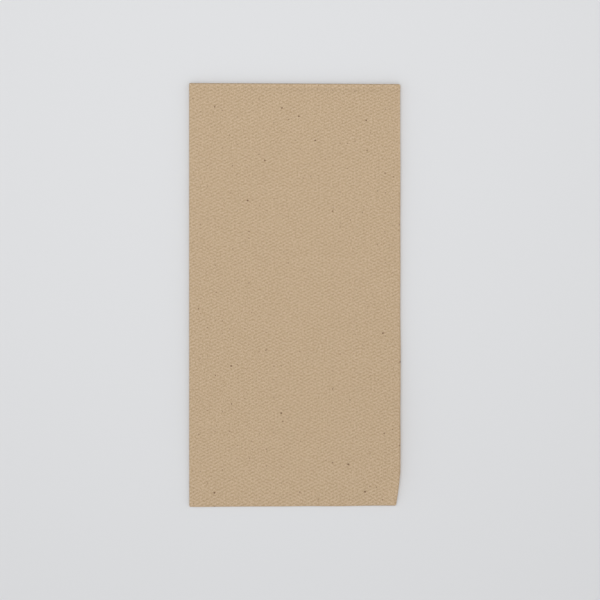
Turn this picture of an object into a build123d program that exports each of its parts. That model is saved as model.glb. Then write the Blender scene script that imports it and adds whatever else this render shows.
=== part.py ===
"""A square dinner napkin of two-ply tissue, folded to an eighth of its area and lying flat.

The sheet is halved twice the same way, which makes a strip of four layers, and the strip is then
halved across its length. It is one sheet all the way, so it is one solid: a thin wall that runs
through every layer and round every fold. The two nested folds of the strip are at -X, its free
edges and its first fold at +X, the cross fold at +Y and the cut ends at -Y. The origin is under
the middle of the folded napkin, on the surface that it lies on.
"""

from build123d import *
import math
import os

# The sheet, in millimetres
SHEET_WIDTH = 400.0  # folded in four, along X
SHEET_LENGTH = 400.0  # folded in two, along Y
SHEET_THICKNESS = 0.18  # both plies, with their embossing pressed down

# The folds
LAYER_GAP = 0.10  # air between one layer and the next
FIRST_FOLD_SETBACK = 0.45  # the first fold stops this far short of a quarter of the sheet

# A layer has a number that counts outwards from the middle of the stack: 1 to 4 go up, and the
# same four go down, round the cross fold. PITCH is from the middle of one layer to the next.
LAYERS = 4
PITCH = SHEET_THICKNESS + LAYER_GAP
STACK_HEIGHT = 2 * LAYERS * SHEET_THICKNESS + (2 * LAYERS - 1) * LAYER_GAP

# Folding takes sheet round the turns, so each layer ends where its share of the sheet runs out.
FIRST_TURN = PITCH / 2  # radius of the fold that joins layers 1 and 2, at +X
INNER_TURN = PITCH / 2  # radius of the fold that joins layers 2 and 3, at -X
OUTER_TURN = PITCH * 3 / 2  # radius of the fold round it, that joins layers 1 and 4
PANEL = SHEET_WIDTH / 4 - FIRST_FOLD_SETBACK
HALF_WIDTH_LEFT = SHEET_WIDTH / 2 - PANEL - math.pi * FIRST_TURN / 2
REACH_3 = HALF_WIDTH_LEFT - math.pi * INNER_TURN
REACH_4 = HALF_WIDTH_LEFT - math.pi * OUTER_TURN

# Where the folds lie, so that the napkin is centred over the origin
SPINE_BULGE = OUTER_TURN + SHEET_THICKNESS / 2
FURTHEST_RIGHT = max(REACH_3, REACH_4, PANEL + FIRST_TURN + SHEET_THICKNESS / 2)
SPINE_X = (SPINE_BULGE - FURTHEST_RIGHT) / 2
MIDDLE_Z = STACK_HEIGHT / 2


def height(layer):
    """How far the middle of a layer lies from the middle of the stack."""
    return (layer - 0.5) * PITCH


def arm_length(layer):
    """From the cross fold's axis to the layer's cut end: the outer layers lose the most."""
    return SHEET_LENGTH / 2 - math.pi * height(layer) / 2


CROSS_FOLD_Y = (arm_length(1) - STACK_HEIGHT / 2) / 2


def flat_layer(layer, reach):
    """One straight run of the strip's section, from the -X folds to its end at +X."""
    return Pos(reach / 2, height(layer)) * Rectangle(reach, SHEET_THICKNESS)


def turn(x, low, high, side):
    """The half ring that joins two layers; side is -1 for a fold at -X and 1 for one at +X."""
    radius = (height(high) - height(low)) / 2
    outside = radius + SHEET_THICKNESS / 2
    ring = Circle(outside) - Circle(radius - SHEET_THICKNESS / 2)
    half = Pos(side * outside / 2, 0) * Rectangle(outside, 2 * outside)
    return Pos(x, (height(low) + height(high)) / 2) * (ring & half)


def strip_section():
    """The folded strip cut across, above the middle of the stack, at the cross fold's axis."""
    section = flat_layer(1, PANEL) + flat_layer(2, PANEL)
    section += flat_layer(3, REACH_3) + flat_layer(4, REACH_4)
    section += turn(PANEL, 1, 2, 1)
    section += turn(0, 2, 3, -1) + turn(0, 1, 4, -1)
    across = Plane(
        origin=(SPINE_X, CROSS_FOLD_Y, MIDDLE_Z), x_dir=(1, 0, 0), z_dir=(0, -1, 0)
    )
    return across * section


def past_the_ends():
    """What lies beyond the cut ends of the upper layers: square at each layer, sloping between."""
    half = SHEET_THICKNESS / 2
    stairs = []
    for layer in range(1, LAYERS + 1):
        y = CROSS_FOLD_Y - arm_length(layer)
        stairs += [(y, MIDDLE_Z + height(layer) - half), (y, MIDDLE_Z + height(layer) + half)]
    clear_y = CROSS_FOLD_Y - SHEET_LENGTH
    outline = Polygon(
        (clear_y, MIDDLE_Z),
        (stairs[0][0], MIDDLE_Z),
        *stairs,
        (stairs[-1][0], MIDDLE_Z + STACK_HEIGHT),
        (clear_y, MIDDLE_Z + STACK_HEIGHT),
        align=None,
    )
    return extrude(Plane.YZ * outline, amount=SHEET_WIDTH, both=True)


def folded_napkin():
    """The upper arm, the same arm mirrored below, and the cross fold that joins the two."""
    section = strip_section()
    upper = extrude(section, amount=SHEET_LENGTH / 2) - past_the_ends()
    lower = mirror(upper, about=Plane.XY.offset(MIDDLE_Z))
    fold_axis = Axis((0, CROSS_FOLD_Y, MIDDLE_Z), (-1, 0, 0))
    bend = revolve(section, axis=fold_axis, revolution_arc=180)
    return upper + bend + lower


os.makedirs("parts", exist_ok=True)
napkin = folded_napkin().solid()
export_step(napkin, "parts/napkin.step")

sheet_volume = SHEET_WIDTH * SHEET_LENGTH * SHEET_THICKNESS
box = napkin.bounding_box()
print(f"volume {napkin.volume:.1f} of the sheet's {sheet_volume:.1f} cubic mm")
print(f"size {box.size.X:.2f} x {box.size.Y:.2f} x {box.size.Z:.2f} mm, valid {napkin.is_valid}")
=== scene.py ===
import math

import bpy
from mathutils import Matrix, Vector, noise


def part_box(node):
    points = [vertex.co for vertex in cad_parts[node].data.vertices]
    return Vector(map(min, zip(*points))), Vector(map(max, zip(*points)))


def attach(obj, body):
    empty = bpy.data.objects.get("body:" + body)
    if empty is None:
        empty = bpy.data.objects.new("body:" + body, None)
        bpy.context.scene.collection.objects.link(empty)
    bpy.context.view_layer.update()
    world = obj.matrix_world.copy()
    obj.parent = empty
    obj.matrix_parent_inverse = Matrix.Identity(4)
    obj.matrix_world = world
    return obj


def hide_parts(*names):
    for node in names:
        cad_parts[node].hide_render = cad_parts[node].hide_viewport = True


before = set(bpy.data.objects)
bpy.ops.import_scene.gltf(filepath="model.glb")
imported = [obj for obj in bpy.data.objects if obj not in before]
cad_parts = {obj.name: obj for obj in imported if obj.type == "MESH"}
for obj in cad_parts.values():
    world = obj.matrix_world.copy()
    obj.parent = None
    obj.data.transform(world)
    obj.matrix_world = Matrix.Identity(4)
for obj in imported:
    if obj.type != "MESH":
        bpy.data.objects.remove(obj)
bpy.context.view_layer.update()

scene = bpy.context.scene

# ------------------------------------------------------------------- the folded sheet
# One square of two-ply tissue with no seam in it. It is embossed in the web, slit, folded twice
# lengthwise and once across, and pressed in a pack, so it lies flat but springs a little at its
# folds and loose edges. It is modelled the same way: laid out flat, folded, settled, embossed.

MM = 0.001
SHEET_SIDE = 400.0
SHEET_THICKNESS = 0.18  # both plies
LAYER_STEP = 0.28  # from the middle of one layer to the next, with the air between them
FIRST_FOLD_SETBACK = 0.45  # how far the first fold stops short of a quarter of the sheet

low, high = (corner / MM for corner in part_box("napkin"))


def layer_height(layer):
    """How far a layer lies from the middle of the stack: 1 is innermost and 4 outermost."""
    return (layer - 0.5) * LAYER_STEP


INNER_TURN = LAYER_STEP / 2  # radius of the inner fold at -X, and of the first fold at +X
OUTER_TURN = LAYER_STEP * 3 / 2  # radius of the outer fold at -X, round the inner one
panel = SHEET_SIDE / 4 - FIRST_FOLD_SETBACK
left_over = SHEET_SIDE / 2 - panel - math.pi * INNER_TURN / 2
reach_3 = left_over - math.pi * INNER_TURN
reach_4 = left_over - math.pi * OUTER_TURN
spine_x = low.x + OUTER_TURN + SHEET_THICKNESS / 2
fold_y = high.y - (high.z - low.z) / 2

# The creases divide the flat sheet into cells. Cells on a panel hold whole embossed dots, three
# columns wide and two dots long, so that the pattern meets the mesh the same way all over.
PANEL_CELLS = 20
ARM_CELLS = 63
BEND_CELLS = 12  # round the cross fold, and round the outer fold at -X
SMALL_BEND_CELLS = 8

across = [(reach_4, layer_height(4), 0.0)]  # (from the spine, height, sheet used so far)


def go_straight(end, cells):
    """Carries the section on along a layer, to that distance from the spine."""
    start, height, used = across[-1]
    for cell in range(1, cells + 1):
        x = start + (end - start) * cell / cells
        across.append((x, height, used + abs(x - start)))


def go_round(layer, side, cells):
    """Carries the section on round a fold to another layer, bulging to -X or +X."""
    start, height, used = across[-1]
    radius = abs(layer_height(layer) - height) / 2
    middle = (layer_height(layer) + height) / 2
    way = math.copysign(1, height - middle)
    for cell in range(1, cells + 1):
        angle = math.pi * cell / cells
        x = start + side * radius * math.sin(angle)
        across.append((x, middle + way * radius * math.cos(angle), used + radius * angle))


go_straight(0, PANEL_CELLS)
go_round(1, -1, BEND_CELLS)
go_straight(panel, PANEL_CELLS)
go_round(2, 1, SMALL_BEND_CELLS)
go_straight(0, PANEL_CELLS)
go_round(3, -1, SMALL_BEND_CELLS)
go_straight(reach_3, PANEL_CELLS)

# Along the strip: the share of an arm between a cut end and each line, and how far round the
# cross fold the line is
along = [(cell / ARM_CELLS, 0.0) for cell in range(ARM_CELLS + 1)]
along += [(1.0, math.pi * cell / BEND_CELLS) for cell in range(1, BEND_CELLS)]
along += [(1 - cell / ARM_CELLS, math.pi) for cell in range(ARM_CELLS + 1)]


def arm_length(height):
    """From the cross fold's axis to the cut end. The outer layers lose the most in the fold."""
    return SHEET_SIDE / 2 - math.pi * height / 2


PRESSED = 0.72  # below 1, a fold is squarer than a half circle, as pressing leaves it


def pressed(value):
    """A sine or cosine of a half circle, made squarer."""
    return math.copysign(abs(value) ** PRESSED, value)


def fold_sheet(station, line):
    """A point of the neatly folded sheet, and its place on the flat one, in millimetres."""
    from_spine, height, used = station
    share, angle = line
    arm = arm_length(height)
    y = fold_y - arm * (1 - share) + height * pressed(math.sin(angle))
    point = (spine_x + from_spine, y, height * pressed(math.cos(angle)))
    length = SHEET_SIDE - arm * share if angle == math.pi else arm * share + height * angle
    return point, (used, length)


def ease(value, start, end):
    """0 up to start, 1 from end on, and a smooth rise between them."""
    share = min(max((value - start) / (end - start), 0.0), 1.0)
    return share * share * (3 - 2 * share)


def ripple(x, y, size, seed):
    """Gentle waves of about that size, the same ones each time."""
    return noise.noise(Vector((x / size, y / size, seed)))


def hump(distance, place, width):
    """1 at that place, falling smoothly to nothing on both sides of it."""
    return math.exp(-(((distance - place) / width) ** 2))


STACK_HALF = layer_height(4) + SHEET_THICKNESS / 2
RIM_HEIGHT = 0.10  # the cross fold springs up into a thin rim,
RIM_FROM_EDGE = 0.7
RIM_WIDTH = 0.6
GROOVE_DEPTH = 0.30  # with a pressed groove behind it
GROOVE_FROM_EDGE = 1.9
GROOVE_WIDTH = 1.3
END_PRESSED = 0.45  # how much thinner the stack is at its cut ends
END_LENGTH = 45.0
ENDS_EVENED = 0.55  # how much of the outer layers' shortfall at the cut ends is drawn out again
EDGE_LIFT = 0.35  # the loose edges at +X stand this much off the stack
CORNER_LIFT = 1.5  # and this much more near the cut ends
LIFT_WIDTH = 24.0
CORNER_LENGTH = 17.0  # the corner at +X and the cut ends is crushed in over this length
CORNER_CRUSH = 2.2
TOP_SHIFT = 0.35  # how far the top layer's loose edge has slid out to +X,
TOP_SHIFT_AT_FOLD = 0.53  # and how much further near the cross fold, where it hides the rest
SKEW = 0.25  # the cut ends and the cross fold are this much out of square at each corner
EDGE_WIDTH = 30.0  # what happens at an edge dies out this far in


def settle(x, y, height):
    """Where a point of the neatly folded stack ends up once it lies loose on the table."""
    level = (height / STACK_HALF + 1) / 2
    to_right, to_end, to_fold = high.x - x, y - low.y, high.y - y
    right, end, fold = (ease(gap, EDGE_WIDTH, 0) for gap in (to_right, to_end, to_fold))

    thickness = 2 * STACK_HALF * (1 - END_PRESSED * ease(to_end, END_LENGTH, 0))
    rim = RIM_HEIGHT * hump(to_fold, RIM_FROM_EDGE, RIM_WIDTH)
    rim -= GROOVE_DEPTH * hump(to_fold, GROOVE_FROM_EDGE, GROOVE_WIDTH)
    # The rim and groove are plain from the middle to +X, and faint at -X
    rim *= 0.45 + 0.55 * ease(x, -22, -4) + 0.5 * ripple(x, 0, 16, 3.1)
    lift = EDGE_LIFT + CORNER_LIFT * ease(to_end, 95, 35) * ease(to_end, -6, 16)
    lift *= ease(to_right, LIFT_WIDTH, 0) ** 1.5
    waves = 0.05 * ripple(x, y, 34, 5.7) + 0.03 * ripple(x, y, 13, 9.2)
    z = level * (thickness + rim + waves) + max(level, 0) ** 1.4 * lift

    crushed = min(max(1 - to_end / CORNER_LENGTH, 0.0), 1.0) ** 1.2
    top_layer = ease(level, 0.87, 0.91)
    slid_out = top_layer * (TOP_SHIFT + TOP_SHIFT_AT_FOLD * ease(to_fold, 60, 42))
    outwards = slid_out - CORNER_CRUSH * crushed
    outwards += 0.16 * ripple(y, 40 * level, 17, 1.3)
    x_out = x + right**2 * outwards
    endwards = SKEW * x / high.x + 0.22 * ripple(x, 60 * level, 21, 2.4)
    endwards -= ENDS_EVENED * math.pi / 2 * abs(height)
    y_out = y + end**2 * endwards - fold**2 * SKEW * x / high.x
    return Vector((x_out, y_out, z))


# The flat sheet is a grid with a line along every station, and each point goes to its place
bpy.ops.object.select_all(action="DESELECT")
bpy.ops.mesh.primitive_grid_add(
    x_subdivisions=len(across) - 1, y_subdivisions=len(along) - 1, size=1, calc_uvs=True
)
napkin = bpy.context.object
napkin.name = "folded_napkin"
mesh = napkin.data
flat_places = {}
for vertex in mesh.vertices:
    station = across[round((vertex.co.x + 0.5) * (len(across) - 1))]
    line = along[round((vertex.co.y + 0.5) * (len(along) - 1))]
    vertex.co, flat_places[vertex.index] = fold_sheet(station, line)
for loop in mesh.loops:
    place = Vector(flat_places[loop.vertex_index]) / SHEET_SIDE
    mesh.uv_layers.active.data[loop.index].uv = place

wall = napkin.modifiers.new("both_plies", "SOLIDIFY")
wall.thickness = SHEET_THICKNESS
wall.offset = 0
wall.use_even_offset = True
bpy.ops.object.modifier_apply(modifier=wall.name)
for vertex in mesh.vertices:
    vertex.co = settle(*vertex.co) * MM

# The outer face of the top layer is divided finely enough to take the embossing: staggered dots
# pressed between steel rollers, in columns along the strip. Its depth comes and goes, because
# the rollers bite unevenly. The other faces carry it in their material alone.
DOT_CELL = (reach_4 / PANEL_CELLS / 3, arm_length(layer_height(4)) / ARM_CELLS / 2)
DOT_WAVE = (math.pi / DOT_CELL[0], math.tau / DOT_CELL[1])
DOT_DEPTH = 0.20  # where the rollers bite fully, and about half of this on average
DOT_FADE = 1.2
CUTS = 5  # six parts to each cell, so that a dot is three parts long


def embossing(u, v):
    """How far the embossed face stands from the plain one, at a place on the flat sheet."""
    rising = math.cos(DOT_WAVE[0] * u + DOT_WAVE[1] * v)
    falling = math.cos(DOT_WAVE[0] * u - DOT_WAVE[1] * v)
    bite_rising = 0.62 + 0.4 * ripple(u, v, 7, 21.5)  # the stronger of the two diagonals
    bite_falling = 0.48 + 0.4 * ripple(u, v, 7, 47.3)
    bite = 0.85 + 1.1 * ripple(u, v, 4, 63.1)
    return DOT_DEPTH * bite * (rising * bite_rising + falling * bite_falling) / 2


def top_face(u, v):
    """A point of the settled top layer's outer face, and the way that the face looks there."""
    x = spine_x + reach_4 - u
    y = fold_y - arm_length(layer_height(4)) + v
    step = 0.2
    point = settle(x, y, STACK_HALF)
    to_x = settle(x + step, y, STACK_HALF) - point
    to_y = settle(x, y + step, STACK_HALF) - point
    return point, to_x.cross(to_y).normalized()


def on_top_layer(face, uv):
    """True for a face on the outside of the top layer, between its folds and its edges."""
    if face.normal.z < 0.8:
        return False
    places = [uv[index].uv * SHEET_SIDE for index in face.loop_indices]
    furthest = (reach_4 + 0.01, arm_length(layer_height(4)) + 0.01)
    return all(place.x < furthest[0] and place.y < furthest[1] for place in places)


bpy.context.tool_settings.mesh_select_mode = (False, False, True)
bpy.ops.object.mode_set(mode="EDIT")
bpy.ops.mesh.select_all(action="DESELECT")
bpy.ops.object.mode_set(mode="OBJECT")
uv = mesh.uv_layers.active.data
for face in mesh.polygons:
    face.select = on_top_layer(face, uv)
bpy.ops.object.mode_set(mode="EDIT")
bpy.ops.mesh.subdivide(number_cuts=CUTS)
bpy.ops.object.mode_set(mode="OBJECT")

uv = mesh.uv_layers.active.data
beside = {index for face in mesh.polygons if not face.select for index in face.vertices}
inside = {}  # the loops of each point within the divided face
for face in mesh.polygons:
    if face.select:
        for loop_index, vertex_index in zip(face.loop_indices, face.vertices):
            if vertex_index not in beside:
                inside.setdefault(vertex_index, []).append(loop_index)
part = DOT_CELL[1] / 3
for vertex_index, loops in inside.items():
    u, v = uv[loops[0]].uv * SHEET_SIDE
    # Every second column moves half a part along, so that its dots are divided like the others
    v += part / 2 * (1 - math.cos(DOT_WAVE[0] * u)) / 2
    point, outwards = top_face(u, v)
    # The dots fade out at the borders of the divided face, where it meets the plain mesh
    inset = min(u, reach_4 - u, v, arm_length(layer_height(4)) - v)
    rise = embossing(u, v) * ease(inset, 0, DOT_FADE)
    mesh.vertices[vertex_index].co = (point + outwards * rise) * MM
    for loop_index in loops:
        uv[loop_index].uv = Vector((u, v)) / SHEET_SIDE

bpy.ops.object.shade_smooth_by_angle(angle=math.radians(40))

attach(napkin, "root")
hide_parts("napkin")


# Unbleached recycled tissue, creped, embossed and never coated: a dead matt brown with a loose,
# felted face, paler and darker fibres all through it, and now and then a dark fleck of bark or
# old ink. Nothing on it shines.
def linear(hex_colour):
    """An sRGB colour written as six hex digits, as a linear RGBA value."""
    channels = [int(hex_colour[i : i + 2], 16) / 255 for i in (0, 2, 4)]
    return (*(c / 12.92 if c <= 0.04045 else ((c + 0.055) / 1.055) ** 2.4 for c in channels), 1)


def add_node(tree, kind, inputs=None, **settings):
    """Adds a node with its settings, and gives each named input its value or its link."""
    node = tree.nodes.new(kind)
    for name, value in settings.items():
        setattr(node, name, value)
    for name, value in (inputs or {}).items():
        if isinstance(value, bpy.types.NodeSocket):
            tree.links.new(value, node.inputs[name])
        else:
            node.inputs[name].default_value = value
    return node


TISSUE = "C3AA8B"
TISSUE_PALE = "D0B99D"
TISSUE_DARK = "B19878"
FLECK = "6A4C33"
RELIEF_DEPTH = 0.09

tissue = bpy.data.materials.new("recycled_kraft_tissue")
tissue.use_nodes = True
tree = tissue.node_tree
shader = tree.nodes["Principled BSDF"]
shader.inputs["Roughness"].default_value = 0.95
shader.inputs["IOR"].default_value = 1.45
shader.inputs["Specular IOR Level"].default_value = 0.25

flat_uv = add_node(tree, "ShaderNodeUVMap", uv_map=mesh.uv_layers.active.name)
flat_mm = add_node(
    tree,
    "ShaderNodeVectorMath",
    {0: flat_uv.outputs[0], "Scale": SHEET_SIDE},
    operation="SCALE",
).outputs[0]


def combine(tree, operation, first, second=0.0):
    """One step of arithmetic on one or two numbers, as a node."""
    return add_node(
        tree, "ShaderNodeMath", {0: first, 1: second}, operation=operation
    ).outputs[0]


def scatter(size, detail, roughness=0.5, turned=0.0, squeezed=1.0):
    """Cloudy noise with features of about that size in millimetres, or of fibres if squeezed."""
    place = flat_mm
    if squeezed != 1:
        place = add_node(
            tree,
            "ShaderNodeMapping",
            {"Vector": flat_mm, "Rotation": (0, 0, turned), "Scale": (1, squeezed, 1)},
        ).outputs[0]
    return add_node(
        tree,
        "ShaderNodeTexNoise",
        {"Vector": place, "Scale": 1 / size, "Detail": detail, "Roughness": roughness},
        noise_dimensions="2D",
    ).outputs["Fac"]


def between(value, from_low, from_high, to_low, to_high):
    """A number carried from one range to another, and held within it."""
    return add_node(
        tree,
        "ShaderNodeMapRange",
        {
            "Value": value,
            "From Min": from_low,
            "From Max": from_high,
            "To Min": to_low,
            "To Max": to_high,
        },
    ).outputs["Result"]


# The embossing again, in step with the mesh, to sharpen it and to reach the other faces
def dot_wave(way):
    """One of the two diagonal waves that make the dots."""
    phase = add_node(
        tree,
        "ShaderNodeVectorMath",
        {0: flat_mm, 1: (DOT_WAVE[0], way * DOT_WAVE[1], 0)},
        operation="DOT_PRODUCT",
    ).outputs["Value"]
    return combine(tree, "COSINE", phase)


bite = scatter(4, 1)
rising = combine(tree, "MULTIPLY", dot_wave(1), between(bite, 0.3, 0.7, 0.5, 0.9))
falling = combine(tree, "MULTIPLY", dot_wave(-1), between(bite, 0.3, 0.7, 0.7, 0.4))
dots = combine(tree, "ADD", rising, falling)

felt = scatter(0.85, 3, 0.7)
fibres_one = scatter(0.5, 2, 0.6, turned=0.6, squeezed=5)
fibres_two = scatter(0.5, 2, 0.6, turned=-0.9, squeezed=5)
fibres = combine(tree, "ADD", fibres_one, fibres_two)
relief = combine(tree, "MULTIPLY", dots, 0.5)
relief = combine(tree, "ADD", relief, combine(tree, "MULTIPLY", felt, 1.6))
relief = combine(tree, "ADD", relief, combine(tree, "MULTIPLY", fibres, 0.8))
bump = add_node(
    tree,
    "ShaderNodeBump",
    {"Height": relief, "Strength": 1.0, "Distance": RELIEF_DEPTH * MM},
)
tree.links.new(bump.outputs[0], shader.inputs["Normal"])

# Colour: clouds of thicker and thinner pulp, single fibres, painted shade in the pressed dots'
# pits and painted highlight on their ridges, then the flecks
tone = between(scatter(9, 3), 0.3, 0.7, 0.48, 0.52)
tone = combine(tree, "ADD", tone, between(fibres, 0.7, 1.3, -0.5, 0.5))
tone = combine(tree, "ADD", tone, between(felt, 0.3, 0.7, -0.34, 0.34))
# Painted shade and highlight: the dot relief darkens the colour in the pits and lightens it on
# the ridges
tone = combine(tree, "ADD", tone, combine(tree, "MULTIPLY", dots, 0.20))
pulp = add_node(tree, "ShaderNodeValToRGB", {"Fac": tone})
pulp.color_ramp.elements[0].position = 0.2
pulp.color_ramp.elements[0].color = linear(TISSUE_DARK)
pulp.color_ramp.elements[1].position = 0.8
pulp.color_ramp.elements[1].color = linear(TISSUE_PALE)
middle = pulp.color_ramp.elements.new(0.5)
middle.color = linear(TISSUE)


def flecks(spacing, radius, share):
    """Small ragged spots in that share of the cells of a net with that spacing."""
    ragged = add_node(
        tree, "ShaderNodeTexNoise", {"Vector": flat_mm, "Scale": 2.5, "Detail": 1.0}
    ).outputs["Color"]
    place = add_node(
        tree, "ShaderNodeVectorMath", {0: ragged, "Scale": 0.5}, operation="SCALE"
    ).outputs[0]
    place = add_node(
        tree, "ShaderNodeVectorMath", {0: flat_mm, 1: place}, operation="ADD"
    ).outputs[0]
    cells = add_node(
        tree,
        "ShaderNodeTexVoronoi",
        {"Vector": place, "Scale": 1 / spacing},
        voronoi_dimensions="2D",
    )
    chance = add_node(
        tree, "ShaderNodeSeparateColor", {0: cells.outputs["Color"]}
    ).outputs[0]
    size = between(chance, 1 - share, 1, 0, radius / spacing)
    nearness = combine(tree, "SUBTRACT", size, cells.outputs["Distance"])
    return between(nearness, 0, 0.35 * radius / spacing, 0, 1)


fine_spots = combine(tree, "MULTIPLY", flecks(3.5, 0.34, 0.3), 0.6)
spots = combine(tree, "MAXIMUM", flecks(8, 0.5, 0.3), fine_spots)
coloured = add_node(
    tree,
    "ShaderNodeMix",
    {0: spots, 6: pulp.outputs["Color"], 7: linear(FLECK)},
    data_type="RGBA",
)
tree.links.new(coloured.outputs[2], shader.inputs["Base Color"])
napkin.data.materials.append(tissue)

# --------------------------------------------------------------------------- the table
# A plain matt board, painted pale grey, that carries nothing but the napkin's soft shadow.
TABLE_SIDE = 6.0
TABLE_BELOW = 0.05 * MM
TABLE_GREY = "DCDDDF"

bpy.ops.object.select_all(action="DESELECT")
bpy.ops.mesh.primitive_plane_add(size=TABLE_SIDE, location=(0, 0, -TABLE_BELOW))
table = bpy.context.object
table.name = "table"
bpy.ops.object.transform_apply(location=True, rotation=True, scale=True)
board = bpy.data.materials.new("matt_painted_board")
board.use_nodes = True
painted = board.node_tree.nodes["Principled BSDF"]
painted.inputs["Base Color"].default_value = linear(TABLE_GREY)
painted.inputs["Roughness"].default_value = 0.8
painted.inputs["Specular IOR Level"].default_value = 0.2
table.data.materials.append(board)

# --------------------------------------------------------------------------- the light
# A white tent. Light comes in all round it, most strongly through the two sides and the front
# and least from the back, which keeps the shadow close round the napkin. The rest comes from a
# soft panel in the roof.
TENT_LIGHT = 0.45  # from everywhere
SIDE_LIGHT = 0.72  # more from -X and +X
FRONT_LIGHT = 0.50  # more from -Y, and less from +Y
RIGHT_LIGHT = 0.10  # a little more from +X than from -X
PANEL_SIDE = 0.5
PANEL_PLACE = Vector((-0.04, 0.15, 0.78))
PANEL_POWER = 2.8

tent = bpy.data.worlds.new("white_tent")
scene.world = tent
tent.use_nodes = True
tree = tent.node_tree
outwards_from_napkin = add_node(tree, "ShaderNodeTexCoord").outputs["Generated"]
direction = add_node(tree, "ShaderNodeSeparateXYZ", {0: outwards_from_napkin})
towards_x, towards_y = direction.outputs[0], direction.outputs[1]
sides = combine(tree, "POWER", combine(tree, "ABSOLUTE", towards_x), 2)
sides = combine(tree, "MULTIPLY", sides, SIDE_LIGHT)
strength = combine(tree, "ADD", sides, combine(tree, "MULTIPLY", towards_x, RIGHT_LIGHT))
back = combine(tree, "MULTIPLY", towards_y, FRONT_LIGHT)
strength = combine(tree, "SUBTRACT", strength, back)
strength = combine(tree, "MAXIMUM", combine(tree, "ADD", strength, TENT_LIGHT))
lit = tree.nodes["Background"]
lit.inputs["Color"].default_value = (1, 1, 1, 1)
tree.links.new(strength, lit.inputs["Strength"])
seen = add_node(
    tree, "ShaderNodeBackground", {"Color": linear(TABLE_GREY), "Strength": 1.0}
)
path = add_node(tree, "ShaderNodeLightPath")
either = add_node(
    tree,
    "ShaderNodeMixShader",
    {0: path.outputs["Is Camera Ray"], 1: lit.outputs[0], 2: seen.outputs[0]},
)
tree.links.new(either.outputs[0], tree.nodes["World Output"].inputs["Surface"])

bpy.ops.object.light_add(type="AREA", location=PANEL_PLACE)
roof_panel = bpy.context.object
roof_panel.name = "roof_panel"
roof_panel.data.shape = "SQUARE"
roof_panel.data.size = PANEL_SIDE
roof_panel.data.energy = PANEL_POWER

# -------------------------------------------------------------------------- the camera
# Straight above the napkin, with a long lens, so that it shows little perspective.
CAMERA_LENS = 85.0
CAMERA_SENSOR = 36.0
VIEW_WIDTH = 285.8 * MM
VIEW_CENTRE = (2.5 * MM, -2.5 * MM)

camera_data = bpy.data.cameras.new("overhead")
camera_data.lens = CAMERA_LENS
camera_data.sensor_width = CAMERA_SENSOR
camera = bpy.data.objects.new("overhead", camera_data)
scene.collection.objects.link(camera)
camera.location = (*VIEW_CENTRE, VIEW_WIDTH * CAMERA_LENS / CAMERA_SENSOR)
scene.camera = camera
scene.view_settings.view_transform = "Standard"
